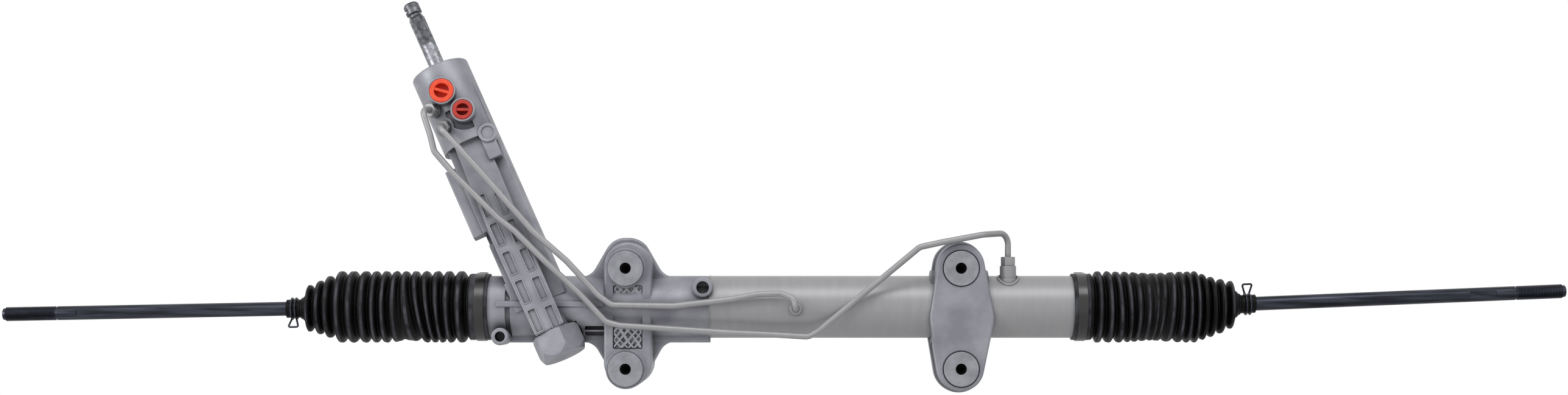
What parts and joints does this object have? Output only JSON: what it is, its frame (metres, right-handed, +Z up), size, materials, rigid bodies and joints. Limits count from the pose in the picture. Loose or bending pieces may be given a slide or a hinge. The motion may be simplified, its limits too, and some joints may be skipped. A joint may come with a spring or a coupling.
{
  "type": "hydraulic steering rack",
  "caption": "Power steering gear of a large van: rack and pinion with a leaning valve tower, cylinder tube, rubber bellows, steel lines and two tie rods.",
  "frame": {"origin": "middle of the four mounting bolts, on the plane that the mounting sleeves stand on", "axes": "+X along the rack to the cylinder's end, +Y to the crossmember it is bolted on, +Z up"},
  "size_m": [1.5389, 0.0952, 0.3895],
  "materials": {
    "cast_aluminium": "satin grey paint over a sand-cast surface",
    "grey_steel": "satin grey paint over drawn steel",
    "ground_steel": "ground",
    "black_oxide_steel": "oiled black oxide",
    "bare_aluminium": "turned",
    "rubber": "matt moulded",
    "liner_plastic": "moulded",
    "orange_plastic": "moulded",
    "red_plastic": "moulded"
  },
  "bodies": {
    "housing": {"bottom_cap": "cast_aluminium", "bush_ring": "ground_steel", "cylinder_port": "grey_steel", "cylinder_tube": "grey_steel", "feed_port_plug": "orange_plastic", "gear_housing": "cast_aluminium", "inner_rack_seal": "rubber", "inner_seal_carrier": "bare_aluminium", "left_boot_band": "black_oxide_steel", "line_collar": "grey_steel", "long_line": "grey_steel", "lower_bearing_balls": "ground_steel", "lower_bearing_outer": "ground_steel", "mount_bracket": "cast_aluminium", "mount_bushes": "rubber", "mount_sleeves": "grey_steel", "mount_washers": "grey_steel", "needle_bearing": "ground_steel", "outer_rack_seal": "rubber", "pinion_seal": "rubber", "pipe_nuts": "grey_steel", "rack_bush": "bare_aluminium", "return_port_plug": "red_plastic", "right_boot_band": "black_oxide_steel", "short_line": "grey_steel", "snap_ring": "ground_steel", "top_bearing": "bare_aluminium", "top_seal": "rubber", "yoke": "bare_aluminium", "yoke_locknut": "grey_steel", "yoke_plug": "grey_steel", "yoke_ring": "rubber", "yoke_spring": "ground_steel"},
    "pinion": {"pinion": "ground_steel", "torsion_bar": "ground_steel", "lower_pin": "ground_steel", "valve_sleeve": "ground_steel", "valve_rings": "liner_plastic", "lower_bearing_inner": "ground_steel", "pinion_nut": "ground_steel"},
    "input_shaft": {"input_shaft": "ground_steel", "upper_pin": "ground_steel"},
    "rack": {"rack_bar": "ground_steel", "piston": "ground_steel", "piston_seal": "liner_plastic", "piston_rings": "ground_steel", "left_socket": "black_oxide_steel", "right_socket": "black_oxide_steel", "left_lock_washer": "ground_steel", "right_lock_washer": "ground_steel", "left_boot": "rubber", "right_boot": "rubber"},
    "left_seat": {"left_ball_seat": "liner_plastic"},
    "right_seat": {"right_ball_seat": "liner_plastic"},
    "left_rod": {"left_tie_rod": "black_oxide_steel", "left_boot_clip": "black_oxide_steel"},
    "right_rod": {"right_tie_rod": "black_oxide_steel", "right_boot_clip": "black_oxide_steel"}
  },
  "joints": [
    {"name": "rack_slide", "type": "slide", "parent": "housing", "child": "rack", "axis": [1, 0, 0], "range_m": [-0.0775, 0.0775], "deforming": ["left_boot", "right_boot"]},
    {"name": "pinion_turn", "type": "hinge", "parent": "housing", "child": "pinion", "pos_m": [-0.2454, -0.04932, 0.01398], "axis": [-0.4123, 0.1425, 0.8998], "range_deg": [-602, 602]},
    {"name": "input_twist", "type": "hinge", "parent": "pinion", "child": "input_shaft", "pos_m": [-0.2454, -0.04932, 0.01398], "axis": [-0.4123, 0.1425, 0.8998], "range_deg": [-4, 4], "stiffness_Nm_per_rad": 66, "deforming": ["torsion_bar"]},
    {"name": "left_rod_lift", "type": "hinge", "parent": "rack", "child": "left_seat", "pos_m": [-0.401, -0.033, 0.0114], "axis": [0, 1, 0], "range_deg": [-18, 18]},
    {"name": "left_rod_swing", "type": "hinge", "parent": "left_seat", "child": "left_rod", "pos_m": [-0.401, -0.033, 0.0114], "axis": [0, 0, 1], "range_deg": [-10, 10], "deforming": ["left_boot"]},
    {"name": "right_rod_lift", "type": "hinge", "parent": "rack", "child": "right_seat", "pos_m": [0.377, -0.033, 0.0114], "axis": [0, 1, 0], "range_deg": [-18, 18]},
    {"name": "right_rod_swing", "type": "hinge", "parent": "right_seat", "child": "right_rod", "pos_m": [0.377, -0.033, 0.0114], "axis": [0, 0, 1], "range_deg": [-10, 10], "deforming": ["right_boot"]}
  ],
  "couplings": [
    {"joint": "pinion_turn", "follows": "rack_slide", "rad_per_m": -135.14}
  ]
}
